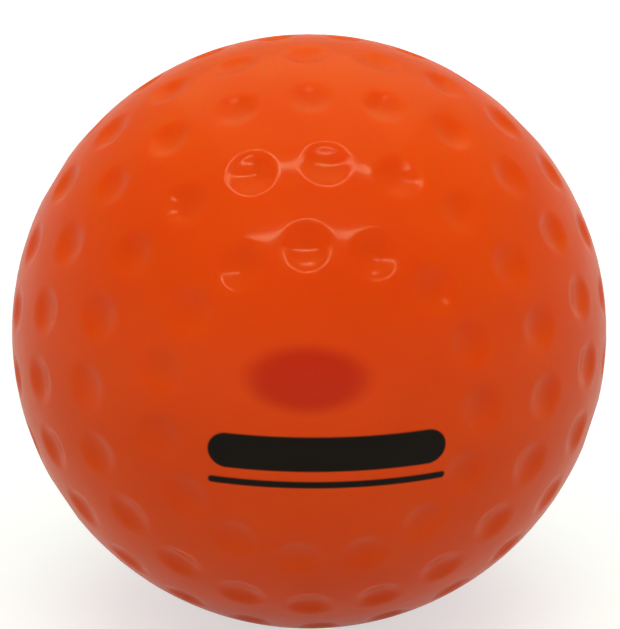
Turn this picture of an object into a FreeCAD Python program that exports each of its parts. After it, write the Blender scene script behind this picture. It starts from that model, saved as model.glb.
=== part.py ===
# Field hockey ball: one solid moulded ball with rings of round dimples.
#
# Frame: millimetres, +Z up, origin at the ball's centre. The rings of dimples go round the Y axis.
# The -Y pole is the front, with a smooth cap for a printed mark, and the +Y pole has the same cap.
import FreeCAD, Part
import os
import Sketcher

doc = FreeCAD.newDocument("HockeyBall")

# Driving dimensions, in millimetres and degrees. A turn angle goes from the top, towards +X.
cells = [
    ("ballDiameter", "73", "ball, over its smooth skin"),
    ("seamTurnAngle", "245.6", "turn to the seam of the skin, which lies in a gap of every ring"),
    ("dimpleWidth", "5", "dimple, across its edge"),
    ("dimpleDepth", "0.55", "dimple, from its edge to its floor"),
    ("ringStepAngle", "15.333", "angle at the centre from one ring to the next"),
    ("middleCount", "28", "dimples in the ring halfway between the poles"),
    ("middleTurnAngle", "6.43", "turn to a dimple of the middle ring"),
    ("sideCount", "27", "dimples in each ring beside the middle one"),
    ("sideTurnAngle", "-1.07", "turn to a dimple of a side ring"),
    ("outerCount", "24", "dimples in each ring next to a side ring"),
    ("outerTurnAngle", "-1", "turn to a dimple of an outer ring"),
    ("innerCount", "20", "dimples in each ring next to a cap ring"),
    ("innerTurnAngle", "2", "turn to a dimple of an inner ring"),
    ("capCount", "15", "dimples in the ring round each smooth cap"),
    ("capTurnAngle", "-4.5", "turn to a dimple of a cap ring"),
]
sizes = doc.addObject("Spreadsheet::Sheet", "Sizes")
for row, (alias, value, meaning) in enumerate(cells, start=1):
    sizes.set(f"A{row}", meaning)
    sizes.set(f"B{row}", value)
    sizes.setAlias(f"B{row}", alias)
doc.recompute()

ball = doc.addObject("PartDesign::Body", "Ball")
ball.Label = "ball"


def originFeature(role):
    """The plane or axis of the body's own origin that has this role."""
    return next(feature for feature in ball.Origin.OriginFeatures if feature.Role == role)


def makeSkin():
    """The smooth ball: a half disc on a plane through the Y axis, turned once round that axis."""
    sketch = ball.newObject("Sketcher::SketchObject", "HalfDisc")
    sketch.AttachmentSupport = [(originFeature("XY_Plane"), "")]
    sketch.MapMode = "FlatFace"
    sketch.setExpression(
        "AttachmentOffset",
        "placement(vector(0; 0; 0); rotation(vector(0; 1; 0); Sizes.seamTurnAngle - 90))",
    )
    radius = sizes.ballDiameter / 2
    frontPole = FreeCAD.Vector(0, -radius, 0)
    side = FreeCAD.Vector(radius, 0, 0)
    backPole = FreeCAD.Vector(0, radius, 0)
    arc = sketch.addGeometry(Part.Arc(frontPole, side, backPole), False)
    chord = sketch.addGeometry(Part.LineSegment(backPole, frontPole), False)
    sketch.addConstraint(Sketcher.Constraint("Coincident", arc, 3, -1, 1))
    sketch.addConstraint(Sketcher.Constraint("Coincident", arc, 2, chord, 1))
    sketch.addConstraint(Sketcher.Constraint("Coincident", arc, 1, chord, 2))
    sketch.addConstraint(Sketcher.Constraint("PointOnObject", chord, 1, -2))
    sketch.addConstraint(Sketcher.Constraint("PointOnObject", chord, 2, -2))
    diameter = sketch.addConstraint(Sketcher.Constraint("Diameter", arc, 2 * radius))
    sketch.renameConstraint(diameter, "skinDiameter")
    sketch.setExpression("Constraints.skinDiameter", "Sizes.ballDiameter")
    skin = ball.newObject("PartDesign::Revolution", "Skin")
    skin.Profile = sketch
    skin.ReferenceAxis = (sketch, ["V_Axis"])
    skin.Angle = 360


# A bowl is part of a sphere. Its radius follows from the dimple's width and depth, and it is centred
# outside the ball, so that the dimple's edge lies on the skin.
bowlRadius = "(Sizes.dimpleWidth ^ 2 / 4 + Sizes.dimpleDepth ^ 2) / (2 * Sizes.dimpleDepth)"
edgeHeight = "sqrt(Sizes.ballDiameter ^ 2 - Sizes.dimpleWidth ^ 2) / 2"
bowlCentre = f"{edgeHeight} - Sizes.dimpleDepth + {bowlRadius}"


def turned(axis, angle):
    """A placement that turns about an axis through the ball's centre, as text for an expression."""
    return f"placement(vector(0; 0; 0); rotation(vector({axis}); {angle}))"


def makeBowl(name, stepsFromMiddle):
    """One dimple of a ring, on the front half: moved out along X, laid along -Y, raised and turned."""
    bowl = ball.newObject("PartDesign::SubtractiveSphere", name + "Bowl")
    bowl.AttachmentSupport = [(originFeature("XY_Plane"), "")]
    bowl.MapMode = "FlatFace"
    bowl.setExpression("Radius", f"{bowlRadius} * 1 mm")
    intoPlace = [
        turned("0; 1; 0", f"Sizes.{name}TurnAngle"),
        turned("1; 0; 0", f"{stepsFromMiddle} * Sizes.ringStepAngle - 90"),
        turned("0; 0; 1", "-90"),
        f"placement(vector({bowlCentre}; 0; 0); rotation(vector(0; 0; 1); 0))",
    ]
    bowl.setExpression("AttachmentOffset", " * ".join(intoPlace))
    return bowl


def makeRing(name, stepsFromMiddle):
    """A ring of dimples: one bowl copied round the Y axis, and on both halves unless it is the middle ring."""
    bowl = makeBowl(name, stepsFromMiddle)
    isPair = stepsFromMiddle > 0
    if isPair:
        ring = ball.newObject("PartDesign::MultiTransform", name + "Ring")
        ring.Originals = [bowl]
        around = ball.newObject("PartDesign::PolarPattern", name + "Around")
    else:
        ring = around = ball.newObject("PartDesign::PolarPattern", name + "Ring")
        around.Originals = [bowl]
    around.Axis = (originFeature("Y_Axis"), [""])
    around.Angle = 360
    around.setExpression("Occurrences", f"Sizes.{name}Count")
    if isPair:
        across = ball.newObject("PartDesign::Mirrored", name + "Across")
        across.MirrorPlane = (originFeature("XZ_Plane"), [""])
        ring.Transformations = [around, across]
    ball.Tip = ring


makeSkin()
for stepsFromMiddle, name in enumerate(["middle", "side", "outer", "inner", "cap"]):
    makeRing(name, stepsFromMiddle)
doc.recompute()

# Nothing may have failed, and the ball is one valid solid
for feature in doc.Objects:
    if "Invalid" in feature.State or "Error" in feature.State:
        raise RuntimeError(f"{feature.Label} didn't build: {feature.State}")
shape = ball.Shape
if shape.isNull() or not shape.isValid() or len(shape.Solids) != 1:
    raise RuntimeError(f"{ball.Label} isn't one valid solid")

os.makedirs("parts", exist_ok=True)
shape.exportStep(os.path.join("parts", ball.Label + ".step"))
print(f"{ball.Label}: {len(shape.Faces)} faces, {shape.Volume / 1000:.2f} cubic centimetres")
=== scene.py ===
# Field hockey ball: a dimpled skin with soft rims, moulded in glossy orange plastic, with a plain
# printed mark on its front cap, on a white floor under two strip lamps and a soft one.
import bmesh
import bpy
import math
from mathutils import Euler, Matrix, Vector


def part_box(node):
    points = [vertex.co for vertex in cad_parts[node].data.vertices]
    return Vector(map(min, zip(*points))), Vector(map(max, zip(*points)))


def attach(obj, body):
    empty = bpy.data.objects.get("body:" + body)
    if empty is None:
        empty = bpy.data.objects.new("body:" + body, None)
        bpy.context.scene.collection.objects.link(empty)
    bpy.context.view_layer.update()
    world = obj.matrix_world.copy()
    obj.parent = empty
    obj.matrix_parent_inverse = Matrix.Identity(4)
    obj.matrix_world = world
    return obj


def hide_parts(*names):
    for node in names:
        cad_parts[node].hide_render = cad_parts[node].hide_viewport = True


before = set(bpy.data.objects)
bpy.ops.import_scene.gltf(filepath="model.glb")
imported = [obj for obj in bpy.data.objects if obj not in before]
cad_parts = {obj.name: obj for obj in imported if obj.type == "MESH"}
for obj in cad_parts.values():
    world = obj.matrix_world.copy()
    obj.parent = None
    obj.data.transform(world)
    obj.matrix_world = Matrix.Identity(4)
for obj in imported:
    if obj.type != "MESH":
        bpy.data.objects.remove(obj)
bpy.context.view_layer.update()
nodeLow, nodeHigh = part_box("ball")
ballRadius = min(nodeHigh[axis] - nodeLow[axis] for axis in range(3)) / 2
print(f"frame loaded, ball radius {ballRadius * 1000:.3f} mm")


# Helpers for modelling

def deselectAll():
    if bpy.context.mode != "OBJECT":
        bpy.ops.object.mode_set(mode="OBJECT")
    bpy.ops.object.select_all(action="DESELECT")


def editMesh(piece):  # goes into edit mode on this piece alone, with nothing selected in it
    deselectAll()
    piece.select_set(True)
    bpy.context.view_layer.objects.active = piece
    bpy.ops.object.mode_set(mode="EDIT")
    bpy.ops.mesh.select_mode(type="EDGE")
    bpy.ops.mesh.select_all(action="DESELECT")


def selectEdges(piece, wanted):  # wanted is a test on one edge
    bpy.ops.mesh.select_all(action="DESELECT")
    edges = bmesh.from_edit_mesh(piece.data).edges
    for edge in edges:
        if wanted(edge):
            edge.select_set(True)
    bmesh.update_edit_mesh(piece.data)


def selectedVerts(piece):
    return [vert for vert in bmesh.from_edit_mesh(piece.data).verts if vert.select]


def copyPiece(piece, name):
    twin = piece.copy()
    twin.data = piece.data.copy()
    twin.name = name
    bpy.context.collection.objects.link(twin)
    return twin


def joinPieces(pieces):  # into the first one
    deselectAll()
    for piece in pieces:
        piece.select_set(True)
    bpy.context.view_layer.objects.active = pieces[0]
    bpy.ops.object.join()
    return pieces[0]


def onSkin(polarAngle, turnAngle):  # degrees: from the front pole, and from the top towards +X
    polar, turn = math.radians(polarAngle), math.radians(turnAngle)
    aside, up = math.sin(turn), math.cos(turn)
    return ballRadius * Vector((math.sin(polar) * aside, -math.cos(polar), math.sin(polar) * up))


def polarAngleOf(point):  # degrees from the front pole
    return math.degrees(math.acos(max(-1, min(1, -point.y / point.length))))


# One dimple, modelled at the top of the ball

dimple = {                # lengths in metres
    "width": 0.005,       # across the edge that it would have without its soft rim
    "depth": 0.00055,     # from that edge to its floor
    "rimRadius": 0.003,   # of the rim's rounding
    "corners": 28,        # round it, a multiple of four
    "rimRings": 5,
    "bowlRings": 5,
}


def dimpleRings():  # radius and height of each ring, from the skin in to the last ring before the middle
    edge, depth, rim = dimple["width"] / 2, dimple["depth"], dimple["rimRadius"]
    bowlRadius = (edge ** 2 + depth ** 2) / (2 * depth)
    bowlHeight = math.sqrt(ballRadius ** 2 - edge ** 2) - depth + bowlRadius
    # The rim is a round edge that touches the skin from inside and the bowl's sphere from outside
    toBall, toBowl = ballRadius - rim, bowlRadius + rim
    rimHeight = (toBall ** 2 - toBowl ** 2 + bowlHeight ** 2) / (2 * bowlHeight)
    rimAway = math.sqrt(toBall ** 2 - rimHeight ** 2)
    skinSlope, bowlSlope = -math.asin(rimAway / toBall), math.asin(rimAway / toBowl)
    rings = []
    for step in range(dimple["rimRings"]):
        slope = skinSlope + (bowlSlope - skinSlope) * step / dimple["rimRings"]
        rings.append((rimAway - rim * math.sin(slope), rimHeight + rim * math.cos(slope)))
    for step in range(dimple["bowlRings"]):
        slope = bowlSlope * (1 - step / dimple["bowlRings"])
        rings.append((bowlRadius * math.sin(slope), bowlHeight - bowlRadius * math.cos(slope)))
    return rings, bowlHeight - bowlRadius


def makeDimple():
    rings, floorHeight = dimpleRings()
    deselectAll()
    # Turned by an eighth, so that a corner lies on each diagonal and goes to a corner of the square cell
    bpy.ops.mesh.primitive_circle_add(
        vertices=dimple["corners"], radius=rings[0][0], fill_type="NOTHING", rotation=(0, 0, math.pi / 4)
    )
    patch = bpy.context.object
    patch.location.z = rings[0][1]
    bpy.ops.object.transform_apply(location=True, rotation=True)
    editMesh(patch)
    bpy.ops.mesh.select_all(action="SELECT")
    for (radius, height), (nextRadius, nextHeight) in zip(rings, rings[1:]):
        scale = nextRadius / radius
        bpy.ops.mesh.extrude_region_move(TRANSFORM_OT_translate={"value": (0, 0, nextHeight - height)})
        bpy.ops.transform.resize(value=(scale, scale, 1), center_override=(0, 0, 0))
    bpy.ops.mesh.extrude_region_move(TRANSFORM_OT_translate={"value": (0, 0, floorHeight - rings[-1][1])})
    bpy.ops.mesh.merge(type="CENTER")
    bpy.ops.object.mode_set(mode="OBJECT")
    return patch


# The skin: rings of cells round the Y axis, each cell with one dimple

skin = {
    "ringStep": 15.333,   # degrees from one ring to the next
    "seamStrip": 1.4,     # degrees between the cells of two rings, bridged afterwards
    "cellCuts": 2,        # loops between a dimple's collar and the border of its cell
    "poleLoops": 10,      # loops on each smooth cap
    "rings": [            # name, dimples in the ring, turn of one dimple from the top towards +X
        ("middle", 28, 6.43),
        ("side", 27, -1.07),
        ("outer", 24, -1),
        ("inner", 20, 2),
        ("cap", 15, -4.5),
    ],
    "weld": 1e-6,
}


def squarePlace(point):  # where a point of the round collar goes on a square border, from -1 to 1
    angle = math.degrees(math.atan2(point.y, point.x))
    if abs(angle) <= 45:
        return 1, angle / 45
    if abs(angle) >= 135:
        return -1, math.copysign(180 - abs(angle), angle) / 45
    return (90 - abs(angle)) / 45, math.copysign(1, angle)


# A cell is the dimple with the skin out to its own border, and the ring is the cell spun round the Y axis
def makeRing(patch, stepsFromMiddle, name, count, turnAngle):
    cell = copyPiece(patch, name + "Ring")
    lean = Euler((math.radians(stepsFromMiddle * skin["ringStep"]), 0, 0))
    upright = lean.to_matrix().inverted()
    polarAngle = 90 - stepsFromMiddle * skin["ringStep"]
    halfHeight, halfTurn = (skin["ringStep"] - skin["seamStrip"]) / 2, 180 / count
    editMesh(cell)
    selectEdges(cell, lambda edge: edge.is_boundary)
    bpy.ops.mesh.extrude_region_move()
    for vert in selectedVerts(cell):
        across, along = squarePlace(vert.co)
        vert.co = upright @ onSkin(polarAngle + along * halfHeight, across * halfTurn)
    selectEdges(cell, lambda edge: sum(vert.is_boundary for vert in edge.verts) == 1)
    bpy.ops.mesh.subdivide_edgering(number_cuts=skin["cellCuts"], interpolation="LINEAR")
    for vert in selectedVerts(cell):
        vert.co = vert.co.normalized() * ballRadius
    bpy.ops.object.mode_set(mode="OBJECT")
    cell.rotation_euler = (lean.x, math.radians(turnAngle), 0)
    bpy.ops.object.transform_apply(location=False, rotation=True, scale=False)
    editMesh(cell)
    bpy.ops.mesh.select_all(action="SELECT")
    bpy.ops.mesh.spin(
        steps=count - 1, dupli=True, angle=math.tau * (count - 1) / count, center=(0, 0, 0), axis=(0, 1, 0)
    )
    bpy.ops.mesh.select_all(action="SELECT")
    bpy.ops.mesh.remove_doubles(threshold=skin["weld"])
    bpy.ops.object.mode_set(mode="OBJECT")
    return cell


def bridgeRings(ball, polarAngle):  # fills the strip of bare seam at this polar angle
    def besideSeam(edge):
        return edge.is_boundary and all(
            abs(polarAngleOf(vert.co) - polarAngle) < skin["seamStrip"] for vert in edge.verts
        )

    selectEdges(ball, besideSeam)
    bpy.ops.mesh.bridge_edge_loops()


def closePole(ball, side):  # side is -1 at the front pole and 1 at the back
    def roundPole(edge):
        return edge.is_boundary and all(vert.co.y * side > 0 for vert in edge.verts)

    selectEdges(ball, roundPole)
    lastStep = len(skin["rings"]) - 0.5
    border = math.radians(90 - lastStep * skin["ringStep"] + skin["seamStrip"] / 2)
    for loop in range(skin["poleLoops"]):
        angle, nextAngle = (border * (1 - step / skin["poleLoops"]) for step in (loop, loop + 1))
        rise = side * ballRadius * (math.cos(nextAngle) - math.cos(angle))
        bpy.ops.mesh.extrude_region_move(TRANSFORM_OT_translate={"value": (0, rise, 0)})
        if loop < skin["poleLoops"] - 1:
            scale = math.sin(nextAngle) / math.sin(angle)
            bpy.ops.transform.resize(value=(scale, 1, scale), center_override=(0, 0, 0))
    bpy.ops.mesh.merge(type="CENTER")


def makeBall():
    patch = makeDimple()
    rings = [makeRing(patch, steps, *ring) for steps, ring in enumerate(skin["rings"])]
    bpy.data.objects.remove(patch)
    middle, front = rings[0], joinPieces(rings[1:])
    mirror = front.modifiers.new("backHalf", "MIRROR")
    mirror.use_axis = (False, True, False)
    mirror.use_mirror_merge = False
    bpy.ops.object.modifier_apply(modifier=mirror.name)
    ball = joinPieces([middle, front])
    ball.name = ball.data.name = "dimpledBall"
    editMesh(ball)
    for steps in range(len(skin["rings"]) - 1):
        aboveMiddle = (steps + 0.5) * skin["ringStep"]
        bridgeRings(ball, 90 - aboveMiddle)
        bridgeRings(ball, 90 + aboveMiddle)
    closePole(ball, -1)
    closePole(ball, 1)
    bpy.ops.mesh.select_all(action="SELECT")
    bpy.ops.mesh.remove_doubles(threshold=skin["weld"])
    bpy.ops.mesh.normals_make_consistent(inside=False)
    bpy.ops.object.mode_set(mode="OBJECT")
    bpy.ops.object.shade_smooth()
    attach(ball, "root")
    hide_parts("ball")
    print(f"ball modelled, {len(ball.data.polygons)} faces")
    return ball


# Materials

def newMaterial(name):
    material = bpy.data.materials.new(name)
    material.use_nodes = True
    return material, material.node_tree


def addNode(tree, kind, inputs=None, **settings):  # an input is a value, or a socket to link from
    node = tree.nodes.new(kind)
    for setting, value in settings.items():
        setattr(node, setting, value)
    for socket, value in (inputs or {}).items():
        if isinstance(value, bpy.types.NodeSocket):
            tree.links.new(value, node.inputs[socket])
        else:
            node.inputs[socket].default_value = value
    return node


def calculate(tree, operation, *values):  # a Math node's result
    return addNode(tree, "ShaderNodeMath", dict(enumerate(values)), operation=operation).outputs[0]


def rescale(tree, value, fromLow, fromHigh, toLow, toHigh, smooth=True):
    node = addNode(
        tree, "ShaderNodeMapRange",
        {"Value": value, "From Min": fromLow, "From Max": fromHigh, "To Min": toLow, "To Max": toHigh},
        interpolation_type="SMOOTHSTEP" if smooth else "LINEAR",
    )
    return node.outputs["Result"]


def noise(tree, point, scale, detail, roughness=0.5):
    sockets = {"Vector": point, "Scale": scale, "Detail": detail, "Roughness": roughness}
    return addNode(tree, "ShaderNodeTexNoise", sockets).outputs["Fac"]


def mixColours(tree, share, first, second):
    node = addNode(tree, "ShaderNodeMix", data_type="RGBA")
    # The node has sockets for numbers and vectors too; these are its factor and its two colours
    for socket, value in zip((node.inputs[0], node.inputs[6], node.inputs[7]), (share, first, second)):
        if isinstance(value, bpy.types.NodeSocket):
            tree.links.new(value, socket)
        else:
            socket.default_value = value
    return node.outputs[2]


mark = {                        # lengths in metres
    "lift": -6.4,               # degrees above the front pole, to the middle of the bar
    "turn": 1.2,                # degrees to the right of it
    "halfLength": 0.0127,
    "halfHeight": 0.0020,
    "softEdge": 0.00012,        # ink has a soft edge
    "lineDrop": 0.0036,         # thin line under the bar
    "lineHalfHeight": 0.0004,
    "fieldLift": 0.0081,        # faint oval above the bar, a little to its left
    "fieldAside": -0.0022,
    "fieldHalf": (0.0068, 0.0036),
    "fieldFade": (0.35, 1.3),   # where it starts to fade and is gone, as squared shares of its reach
    "fieldStrength": 0.75,
}


def sumOfSquares(tree, first, second):
    squares = (calculate(tree, "MULTIPLY", value, value) for value in (first, second))
    return calculate(tree, "ADD", *squares)


def barMask(tree, across, up, middle, halfLength, halfHeight):  # a bar with round ends
    pastStraight = calculate(tree, "SUBTRACT", calculate(tree, "ABSOLUTE", across), halfLength - halfHeight)
    overEnd = calculate(tree, "MAXIMUM", pastStraight, 0.0)
    off = calculate(tree, "SUBTRACT", up, middle)
    reach = calculate(tree, "SQRT", sumOfSquares(tree, overEnd, off))
    return rescale(tree, reach, halfHeight - mark["softEdge"], halfHeight + mark["softEdge"], 1.0, 0.0)


def fieldMask(tree, across, up):
    halfAcross, halfUp = mark["fieldHalf"]
    aside = calculate(tree, "SUBTRACT", across, mark["fieldAside"])
    above = calculate(tree, "SUBTRACT", up, mark["fieldLift"])
    reach = sumOfSquares(
        tree, calculate(tree, "DIVIDE", aside, halfAcross), calculate(tree, "DIVIDE", above, halfUp)
    )
    return rescale(tree, reach, *mark["fieldFade"], mark["fieldStrength"], 0.0)


# The mark is laid on flat, from the front: its own X goes across and its own Y goes up
def markMasks(tree, place):
    tilt = Matrix.Rotation(math.radians(mark["lift"] - 90), 3, "X")
    aim = Matrix.Rotation(math.radians(-mark["turn"]), 3, "Z")
    facing = (tilt @ aim).to_euler()
    flat = addNode(tree, "ShaderNodeMapping", {"Vector": place, "Rotation": facing}, vector_type="POINT")
    across, up, out = addNode(tree, "ShaderNodeSeparateXYZ", {"Vector": flat.outputs[0]}).outputs
    front = calculate(tree, "GREATER_THAN", out, 0.0)
    bar = barMask(tree, across, up, 0.0, mark["halfLength"], mark["halfHeight"])
    line = barMask(tree, across, up, -mark["lineDrop"], mark["halfLength"], mark["lineHalfHeight"])
    ink = calculate(tree, "MULTIPLY", calculate(tree, "MAXIMUM", bar, line), front)
    field = calculate(tree, "MULTIPLY", fieldMask(tree, across, up), front)
    return ink, field


plastic = {
    "colour": (0.88, 0.082, 0.001, 1),
    "deepColour": (0.85, 0.074, 0.001, 1),
    "ink": (0.006, 0.003, 0.003, 1),
    "fieldColour": (0.62, 0.012, 0.001, 1),
    "clouds": (70.0, 3),              # scale and detail of the change between the two oranges
    "cloudRange": (0.35, 0.7),
    "waves": (260.0, 2),              # the unevenness of the surface, wide and fine
    "peel": (1100.0, 2),
    "peelShare": 0.35,
    "bump": {"Strength": 0.08, "Distance": 0.00006},
    "handling": (160.0, 5, 0.65),     # scale, detail and roughness of the handled places
    "handlingRange": (0.45, 0.75),
    "gloss": (0.17, 0.135),           # weight of the clear coat, where clean and where handled
    "inkGloss": 0.6,                  # ink is duller than the skin
    "sockets": {
        "Roughness": 0.45,
        "Specular IOR Level": 0.05,
        "Specular Tint": (1.0, 0.85, 0.45, 1),
        "Coat Roughness": 0.11,
        "Subsurface Weight": 1.0,
        "Subsurface Radius": (1.0, 0.2, 0.08),
        "Subsurface Scale": 0.006,
    },
}


def skinMaterial():
    material, tree = newMaterial("orangeSkin")
    shader = tree.nodes["Principled BSDF"]
    place = addNode(tree, "ShaderNodeTexCoord").outputs["Object"]
    clouds = noise(tree, place, *plastic["clouds"])
    deeper = rescale(tree, clouds, *plastic["cloudRange"], 0.0, 1.0)
    orange = mixColours(tree, deeper, plastic["colour"], plastic["deepColour"])
    ink, field = markMasks(tree, place)
    colour = mixColours(tree, field, orange, plastic["fieldColour"])
    colour = mixColours(tree, ink, colour, plastic["ink"])
    tree.links.new(colour, shader.inputs["Base Color"])

    peel = noise(tree, place, *plastic["peel"])
    waves = noise(tree, place, *plastic["waves"])
    height = calculate(tree, "ADD", calculate(tree, "MULTIPLY", peel, plastic["peelShare"]), waves)
    bump = addNode(tree, "ShaderNodeBump", {"Height": height, **plastic["bump"]})
    tree.links.new(bump.outputs[0], shader.inputs["Normal"])

    handling = noise(tree, place, *plastic["handling"])
    gloss = rescale(tree, handling, *plastic["handlingRange"], *plastic["gloss"])
    duller = rescale(tree, ink, 0.0, 1.0, 1.0, plastic["inkGloss"], smooth=False)
    tree.links.new(calculate(tree, "MULTIPLY", gloss, duller), shader.inputs["Coat Weight"])
    for socket, value in plastic["sockets"].items():
        shader.inputs[socket].default_value = value
    return material


# Floor, lamps, world and camera

studio = {
    "floorSize": 6,
    "floorColour": (0.55, 0.56, 0.73, 1),   # white under the warm light of the lamps
    "floorRoughness": 0.9,
    "floorGlow": (1.0, 1.03, 1.0, 1),
    "floorReach": (0.15, 1.2),              # beside the ball, and far off where the lamps are weak
    "floorLift": (0.58, 0.86),              # strength of the glow at those two distances
    "lampDistance": 1.0,
    "lamps": [   # name, azimuth, elevation, half width and half height as angles, radiance, colour
        ("frontStrip", 0, 50, 22, 1.5, 20, (0.97, 0.95, 0.55)),
        ("topStrip", 0, 77, 22, 1.5, 20, (0.97, 0.95, 0.55)),
        ("softTop", -2, 115, 28, 28, 0.8, (0.75, 1.0, 0.45)),
    ],
    "worldReach": (0.0, 0.5),               # sine of the elevation, from the horizon up
    "worldStrength": (0.86, 0.3),
    "view": {
        "distance": 0.219,
        "azimuth": -2,
        "elevation": 14.5,
        "lens": 100.7,
        "shift": (0.0013, 0.0267),
        "clipStart": 0.01,
    },
}


def direction(azimuth, elevation):  # degrees; azimuth 0 is in front of the ball, towards -Y
    turn, rise = math.radians(azimuth), math.radians(elevation)
    return Vector((math.sin(turn) * math.cos(rise), -math.cos(turn) * math.cos(rise), math.sin(rise)))


def makeFloor():
    deselectAll()
    bpy.ops.mesh.primitive_plane_add(size=studio["floorSize"], location=(0, 0, nodeLow.z))
    floor = bpy.context.object
    floor.name = "floor"
    material, tree = newMaterial("whiteFloor")
    floor.data.materials.append(material)
    paper = tree.nodes["Principled BSDF"]
    paper.inputs["Base Color"].default_value = studio["floorColour"]
    paper.inputs["Roughness"].default_value = studio["floorRoughness"]
    place = addNode(tree, "ShaderNodeTexCoord").outputs["Object"]
    reach = addNode(tree, "ShaderNodeVectorMath", {0: place}, operation="LENGTH").outputs["Value"]
    lift = rescale(tree, reach, *studio["floorReach"], *studio["floorLift"])
    glow = addNode(tree, "ShaderNodeEmission", {"Color": studio["floorGlow"], "Strength": lift})
    both = addNode(tree, "ShaderNodeAddShader", {0: paper.outputs[0], 1: glow.outputs[0]})
    rays = addNode(tree, "ShaderNodeLightPath").outputs
    seen = calculate(tree, "MAXIMUM", rays["Is Camera Ray"], rays["Is Glossy Ray"])
    seen = calculate(tree, "MAXIMUM", seen, rays["Is Transmission Ray"])
    pick = addNode(tree, "ShaderNodeMixShader", {0: seen, 1: paper.outputs[0], 2: both.outputs[0]})
    tree.links.new(pick.outputs[0], tree.nodes["Material Output"].inputs["Surface"])


def makeLamps():
    for name, azimuth, elevation, halfWidth, halfHeight, radiance, colour in studio["lamps"]:
        data = bpy.data.lights.new(name, "AREA")
        data.shape = "RECTANGLE"
        data.size = 2 * studio["lampDistance"] * math.tan(math.radians(halfWidth))
        data.size_y = 2 * studio["lampDistance"] * math.tan(math.radians(halfHeight))
        data.energy = radiance * math.pi * data.size * data.size_y
        data.color = colour
        lamp = bpy.data.objects.new(name, data)
        bpy.context.collection.objects.link(lamp)
        away = direction(azimuth, elevation)
        lamp.location = away * studio["lampDistance"]
        lamp.rotation_euler = (-away).to_track_quat("-Z", "Y").to_euler()


def makeWorld():
    world = bpy.data.worlds.new("studioWorld")
    world.use_nodes = True
    bpy.context.scene.world = world
    tree = world.node_tree
    background = tree.nodes["Background"]
    background.inputs["Color"].default_value = (1, 1, 1, 1)
    towards = addNode(tree, "ShaderNodeTexCoord").outputs["Generated"]
    axes = addNode(tree, "ShaderNodeSeparateXYZ", {"Vector": towards})
    soft = rescale(tree, axes.outputs["Z"], *studio["worldReach"], *studio["worldStrength"])
    tree.links.new(soft, background.inputs["Strength"])


def makeCamera():
    view = studio["view"]
    data = bpy.data.cameras.new("camera")
    data.lens = view["lens"]
    data.shift_x, data.shift_y = view["shift"]
    data.clip_start = view["clipStart"]
    camera = bpy.data.objects.new("camera", data)
    bpy.context.collection.objects.link(camera)
    away = direction(view["azimuth"], view["elevation"])
    camera.location = away * view["distance"]
    camera.rotation_euler = (-away).to_track_quat("-Z", "Y").to_euler()
    bpy.context.scene.camera = camera


ball = makeBall()
ball.data.materials.clear()
ball.data.materials.append(skinMaterial())
print("skin material made")
makeFloor()
makeLamps()
makeWorld()
makeCamera()
bpy.context.scene.view_settings.view_transform = "Standard"
print("studio made")
